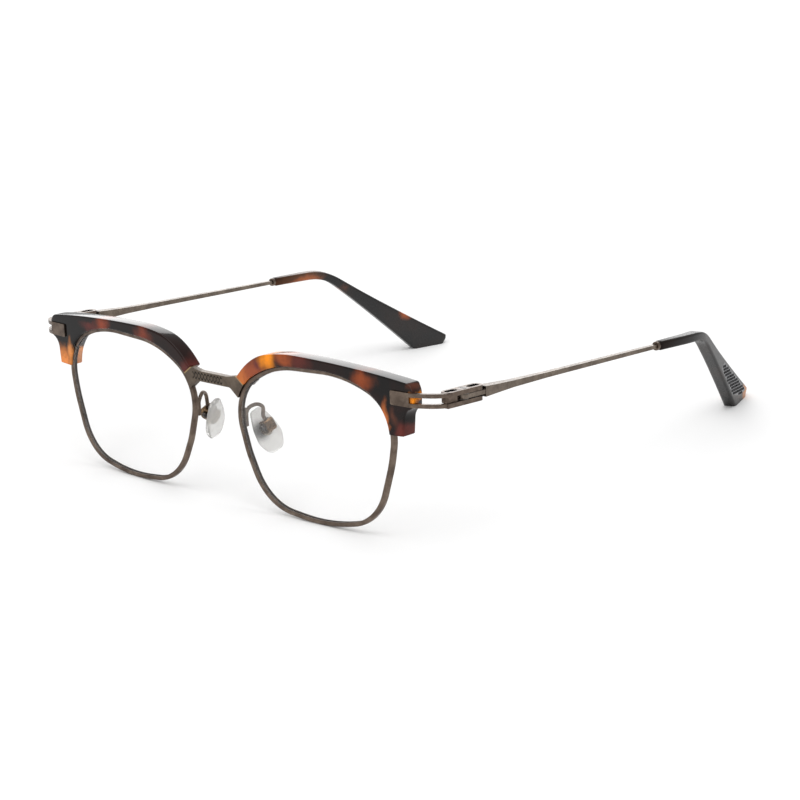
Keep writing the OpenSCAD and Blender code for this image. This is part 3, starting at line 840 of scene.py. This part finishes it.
def grip_prism(side, x0, x1, name="cutter"):
    """The grip's outline, carried sideways from x0 to x1."""
    rings = [[(x, p.x, p.y) for p in filleted(GRIP_CORNERS, 5)] for x in (x0, x1)]
    return new_object(name, *lofted(rings), paddle_frame(side))


def make_grip(side):
    """Panel of crossing ribs with diamond-shaped pits between them, whose faces carry painted shade."""
    outline, place = filleted(GRIP_CORNERS, 5), paddle_frame(side)
    x0, x1 = GRIP_X
    obj = grip_prism(side, x0, x1, "tip_grip_" + side + "_panel")
    mid_y, mid_z = -17, 0.4
    pitch_y, pitch_z, open_y, open_z = 1.7, 1.05, 0.70, 0.43
    verts, faces = [], []
    for row in range(-24, 41):
        for col in range(-12, 13):
            cy = mid_y + row * pitch_y / 2
            cz = mid_z + (col + (0.5 if row % 2 else 0)) * pitch_z
            corner = [(cy - open_y, cz), (cy, cz - open_z), (cy + open_y, cz), (cy, cz + open_z)]
            if not all(inside(Vector((cy, cz)).lerp(Vector(c), 0.6), outline) for c in corner):
                continue
            base = len(verts)
            ends = (x1 + PIT_DEPTH, x1 - PIT_DEPTH)
            pit_verts, pit_faces = lofted([[(x, *c) for c in corner] for x in ends])
            verts += pit_verts
            faces += [[base + k for k in face] for face in pit_faces]
    minus(obj, new_object("cutter", verts, faces, place))
    shown(smoothed(obj, 30), [grip, pits], side + "_temple", "grip_rubber", "tip_grip_" + side)
    # Every face between the panel's back and front, mostly the walls and floors of the pits, gets the
    # painted shade
    inverse = place.inverted()
    for polygon in obj.data.polygons:
        polygon.material_index = 1 if x0 + 0.001 < (inverse @ polygon.center).x < x1 - 0.02 else 0


def make_pad(side):
    """A soft, drop-shaped pad on the nose side of its box."""
    half = [(1.7, 6.1, 1.5), (3.3, 1.6, 9), (3.85, -2.6, 5), (2, -6.1, 2.2)]
    corners = half + [(-x, z, r) for x, z, r in reversed(half)]
    outline = resampled(filleted(corners, 12), 96, closed=True)
    rings = []
    steps = 20
    for i in range(steps + 1):
        t = math.pi * (0.03 + 0.94 * i / steps)
        share = math.sin(t) ** 0.42
        depth = math.copysign(abs(math.cos(t)) ** 0.62, math.cos(t))
        rings.append([(-2.15 + 0.75 * depth, p.x * share, -1.1 + p.y * share) for p in outline])
    obj = new_object("nose_pad_" + side + "_silicone", *lofted(rings), in_pad(side))
    shown(smoothed(obj, 60), pad_silicone, side + "_nose_pad", "clear_silicone", "nose_pad_" + side)


def make_pad_arm(side):
    """A bent wire from its foot on the back of the eyewire to the pad's box."""
    place, pad = in_front(side), in_front(side).inverted() @ in_pad(side)
    root_y = RIM_BACK + bowed_y(9.7, 0)
    points = [Vector(p) for p in ((9.1, root_y + 0.45, 22), (9.1, root_y + 0.5, 23.6), (9.3, 2.2, 25.3),
                                  (10.3, 4, 26), (10.9, 5.5, 25))]
    points += [pad @ Vector((0.3, 0, 2.9)), pad @ Vector((0.3, 0, 1.72))]
    wire = new_object("pad_arm_" + side + "_wire", *lofted(tube(points, 0.5)), place)
    foot_outline = [(8.5, 20.6), (9.7, 20.6), (9.7, 25.5), (8.5, 25.5)]
    foot = prism(foot_outline, root_y, root_y + 0.9, place, "foot")
    bevelled(foot, 0.25, 3)
    joined(wire, foot)
    shown(smoothed(wire, 45), metal, "front", "bronze_metal", "pad_arm_" + side)


def make_refined(node, width, finish, body, slot, segments=2):
    """The CAD shape with its edges broken, as on the real part."""
    obj = cad_copy(node, node + "_part")
    bevelled(obj, width, segments)
    smoothed(obj, 35)
    return shown(weighted(obj), finish, body, slot, node)


def make_clip(side):
    """The clip behind the brow's nose end, trimmed at the eyewire's inner edge."""
    obj = cad_copy("nose_clip_" + side, "nose_clip_" + side + "_part")
    minus(obj, prism(lens_outline(-RIM_OUT, 220), -3, 8, in_front(side)))
    bevelled(obj, 0.08, 2)
    smoothed(obj, 35)
    shown(weighted(obj), metal, "front", "bronze_metal", "nose_clip_" + side)


def make_end_piece(side):
    """The end piece, with painted shade inside the pockets beside the hinge screw."""
    obj = make_refined("end_piece_" + side, 0.12, [metal, pits], "front", "bronze_metal")
    inverse = in_hinge(side).inverted()
    leaf_top, pocket_mid, pocket_half = 1.87, (-4.2, 3.4), (0.85, 1.95)
    # Faces inside the pockets, from 0.1 to 0.5 below the leaf's top, get the painted shade
    for polygon in obj.data.polygons:
        p = inverse @ polygon.center
        near = any(abs(p.y - mid) < pocket_half[1] for mid in pocket_mid) and abs(p.x) < pocket_half[0]
        polygon.material_index = 1 if near and leaf_top - 0.5 < p.z < leaf_top - 0.1 else 0


make_refined("bridge", 0.16, bridge_metal, "front", "bronze_metal")
for side in SIDES:
    make_rim(side)
    make_lens(side)
    make_brow(side)
    make_tip(side)
    make_grip(side)
    make_pad(side)
    make_pad_arm(side)
    make_end_piece(side)
    make_refined("temple_" + side, 0.2, temple_metal, side + "_temple", "bronze_metal", segments=3)
    make_refined("tip_collar_" + side, 0.12, metal, side + "_temple", "bronze_metal")
    make_refined("hinge_screw_" + side, 0.06, screw_metal, "front", "dark_screw")
    make_refined("pad_box_" + side, 0.14, pad_metal, "front", "bronze_metal")
    make_refined("pad_screw_" + side, 0.06, screw_metal, "front", "dark_screw")
    make_refined("pad_insert_" + side, 0.1, insert_metal, side + "_nose_pad", "bright_metal")
    make_clip(side)
    make_refined("rim_lock_upper_" + side, 0.1, metal, "front", "bronze_metal")
    make_refined("rim_lock_lower_" + side, 0.1, metal, "front", "bronze_metal")
    make_refined("rim_lock_screw_" + side, 0.06, screw_metal, "front", "dark_screw")
    make_refined("brow_screws_" + side, 0.06, screw_metal, "front", "dark_screw")
    make_refined("hinge_washers_" + side, 0.03, washer_nylon, side + "_temple", "nylon")


# ---------------------------------------------------------------- floor, light and camera
def make_floor():
    half = 6
    corners = [(-half, -half, 0), (half, -half, 0), (half, half, 0), (-half, half, 0)]
    floor = new_object("floor", corners, [[0, 1, 2, 3]])
    f = Finish("floor_paper")
    at = f.place()
    colour = f.ramp(f.noise(at, 0.01, 2), (0.3, (0.93, 0.93, 0.93)), (0.7, (0.95, 0.95, 0.95)))
    f.set(Base_Color=colour, Roughness=0.9, Specular_IOR_Level=0.0)
    floor.data.materials.append(f.material)


def area_light(name, place, aim, size, watts, tint=(1, 1, 1)):
    lamp = bpy.data.lights.new(name, "AREA")
    lamp.shape = "RECTANGLE"
    lamp.size, lamp.size_y = size
    lamp.energy = watts
    lamp.color = tint
    obj = bpy.data.objects.new(name, lamp)
    obj.location = place
    obj.rotation_euler = (Vector(aim) - Vector(place)).to_track_quat("-Z", "Y").to_euler()
    obj.visible_camera = False
    bpy.context.scene.collection.objects.link(obj)


def make_camera():
    """The photo's view: turned round the front, a little above it, with a small roll."""
    turn, rise, roll = math.radians(45.08), math.radians(16.13), math.radians(-4.0)
    back = Vector((math.sin(turn) * math.cos(rise), -math.cos(turn) * math.cos(rise), math.sin(rise)))
    right = Vector((math.cos(turn), math.sin(turn), 0))
    up = back.cross(right)
    turned_right = right * math.cos(roll) + up * math.sin(roll)
    turned_up = up * math.cos(roll) - right * math.sin(roll)
    camera = bpy.data.cameras.new("camera")
    camera.sensor_width = 36
    camera.lens = 107.65
    camera.clip_start = 0.01
    obj = bpy.data.objects.new("camera", camera)
    matrix = Matrix((turned_right, turned_up, back)).transposed().to_4x4()
    matrix.translation = (0.44792, -0.45303, 0.19266)
    obj.matrix_world = matrix
    bpy.context.scene.collection.objects.link(obj)
    bpy.context.scene.camera = obj


make_floor()
make_camera()
area_light("key_light", (0.1, -0.2, 1.1), (0, 0, 0), (1.2, 1.2), 7)
area_light("front_light", (0.45, -1.25, 0.6), (0, 0, 0.02), (0.8, 0.8), 3.5)
area_light("back_light", (-0.75, 0.85, 0.42), (0, 0, 0.03), (1.1, 0.6), 5)
world = bpy.data.worlds.new("studio")
world.use_nodes = True
world.node_tree.nodes["Background"].inputs["Color"].default_value = (1, 1, 1, 1)
world.node_tree.nodes["Background"].inputs["Strength"].default_value = 0.58
bpy.context.scene.world = world
bpy.context.scene.view_settings.view_transform = "Standard"
